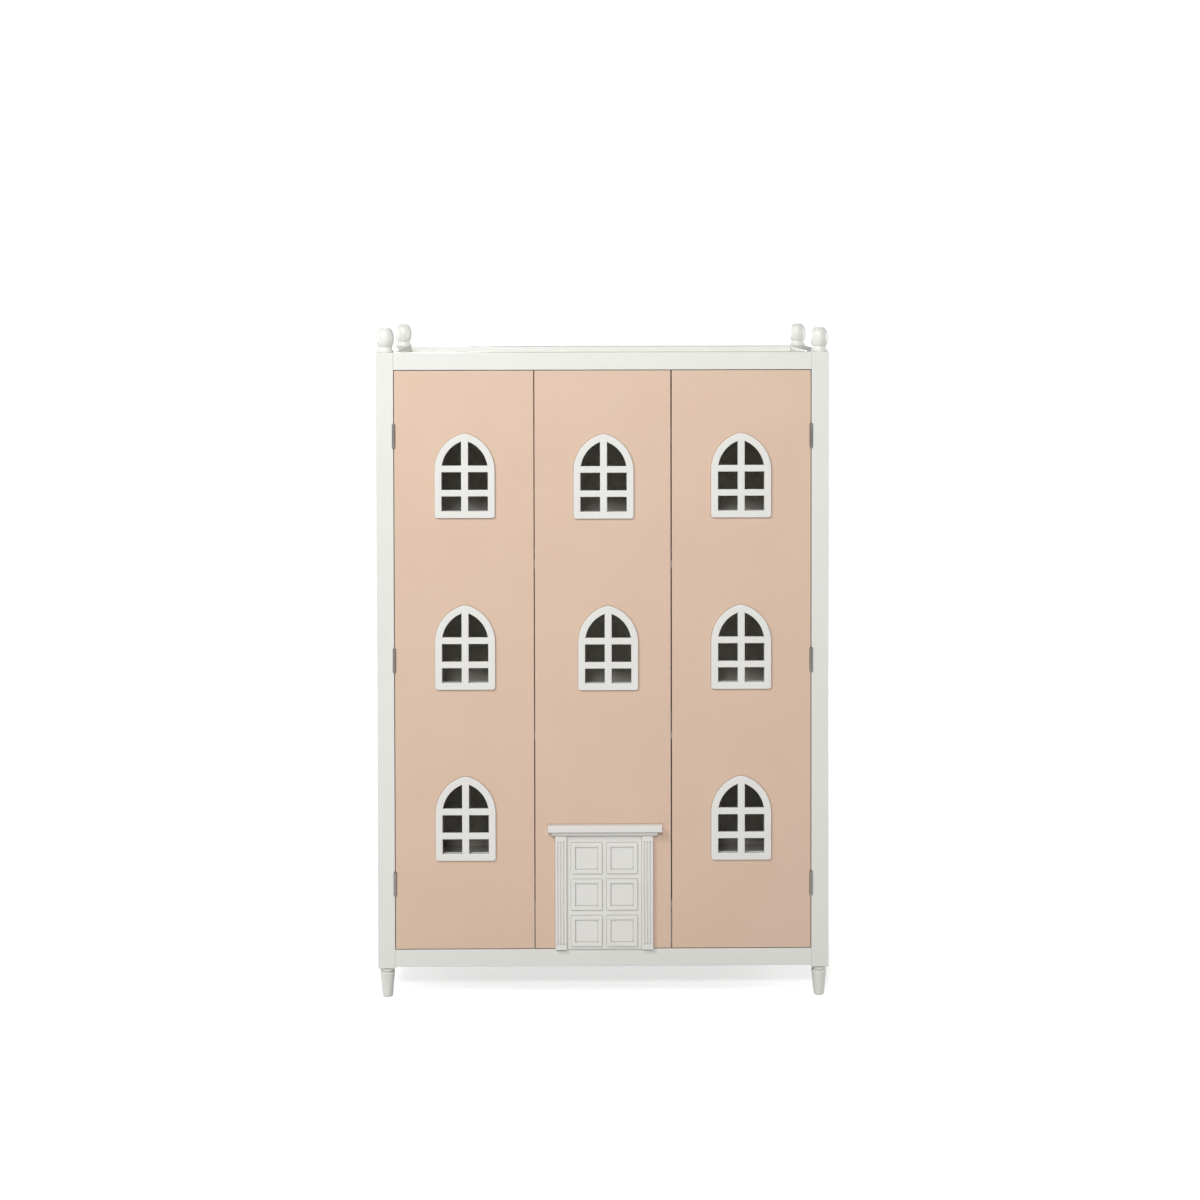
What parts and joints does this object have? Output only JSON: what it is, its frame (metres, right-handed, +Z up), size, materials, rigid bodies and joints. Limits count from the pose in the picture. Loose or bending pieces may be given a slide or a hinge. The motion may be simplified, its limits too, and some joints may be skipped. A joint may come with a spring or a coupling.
{
  "type": "wooden dollhouse",
  "caption": "Tall wooden dollhouse cabinet on turned feet: square-stock frame with ball finials, roof terrace, three open storeys, and hinged front leaves with arched windows and a door portal.",
  "frame": {"origin": "on the floor, under the middle of the whole object's box, which runs from the front of the portal's cornice to the back of the posts", "axes": "+X to the right as seen from the front, +Y to the back, +Z up"},
  "size_m": [0.78, 0.365, 1.16],
  "materials": {
    "white_frame_paint": "satin white paint on turned and planed solid wood",
    "white_trim_paint": "satin white paint on milled mouldings",
    "white_inside_paint": "matt white paint on board",
    "blush_paint": "satin blush pink paint on board",
    "nickel_plate": "nickel-plated steel",
    "zinc_plate": "bright zinc-plated steel",
    "magnet_nickel": "nickel-plated magnet",
    "catch_plastic": "moulded white plastic"
  },
  "bodies": {
    "carcass": {"post_front_left": "white_frame_paint", "post_front_right": "white_frame_paint", "post_back_left": "white_frame_paint", "post_back_right": "white_frame_paint", "finial_front_left": "white_frame_paint", "finial_front_right": "white_frame_paint", "finial_back_left": "white_frame_paint", "finial_back_right": "white_frame_paint", "foot_front_left": "white_frame_paint", "foot_front_right": "white_frame_paint", "foot_back_left": "white_frame_paint", "foot_back_right": "white_frame_paint", "top_rail_front": "white_frame_paint", "top_rail_back": "white_frame_paint", "top_rail_left": "white_frame_paint", "top_rail_right": "white_frame_paint", "bottom_rail_front": "white_frame_paint", "bottom_rail_back": "white_frame_paint", "bottom_rail_left": "white_frame_paint", "bottom_rail_right": "white_frame_paint", "back_panel": "white_inside_paint", "ground_floor": "white_inside_paint", "first_floor": "white_inside_paint", "second_floor": "white_inside_paint", "roof_deck": "white_inside_paint", "plinth_board": "white_inside_paint", "side_panel_left": "blush_paint", "side_panel_right": "blush_paint", "post_hinge_plates": "nickel_plate", "post_hinge_pins": "nickel_plate", "catch_housings": "catch_plastic", "catch_magnets": "magnet_nickel", "carcass_screws": "zinc_plate"},
    "left_door": {"left_door_panel": "blush_paint", "left_window_top": "white_trim_paint", "left_window_middle": "white_trim_paint", "left_window_bottom": "white_trim_paint", "left_hinge_plates": "nickel_plate", "left_strikes": "zinc_plate", "left_door_screws": "zinc_plate"},
    "right_door": {"right_door_panel": "blush_paint", "right_window_top": "white_trim_paint", "right_window_middle": "white_trim_paint", "right_window_bottom": "white_trim_paint", "right_hinge_plates": "nickel_plate", "right_fold_plates": "nickel_plate", "fold_hinge_pins": "nickel_plate", "right_door_screws": "zinc_plate"},
    "centre_leaf": {"centre_panel": "blush_paint", "centre_window_top": "white_trim_paint", "centre_window_middle": "white_trim_paint", "portal_door": "white_trim_paint", "portal_panel_rings": "white_trim_paint", "portal_pilaster_left": "white_trim_paint", "portal_pilaster_right": "white_trim_paint", "portal_bed_mould": "white_trim_paint", "portal_cornice": "white_trim_paint", "centre_fold_plates": "nickel_plate", "centre_strikes": "zinc_plate", "centre_leaf_screws": "zinc_plate"}
  },
  "joints": [
    {"name": "left_door_swing", "type": "hinge", "parent": "carcass", "child": "left_door", "pos_m": [-0.3595, -0.168, 0.5865], "axis": [0, 0, -1], "range_deg": [0, 170]},
    {"name": "right_door_swing", "type": "hinge", "parent": "carcass", "child": "right_door", "pos_m": [0.3595, -0.168, 0.5865], "axis": [0, 0, 1], "range_deg": [0, 170]},
    {"name": "centre_leaf_fold", "type": "hinge", "parent": "right_door", "child": "centre_leaf", "pos_m": [0.118, -0.153, 0.5865], "axis": [0, 0, 1], "range_deg": [-170, 0]}
  ],
  "couplings": [
    {"joint": "centre_leaf_fold", "follows": "right_door_swing", "ratio": -1}
  ]
}
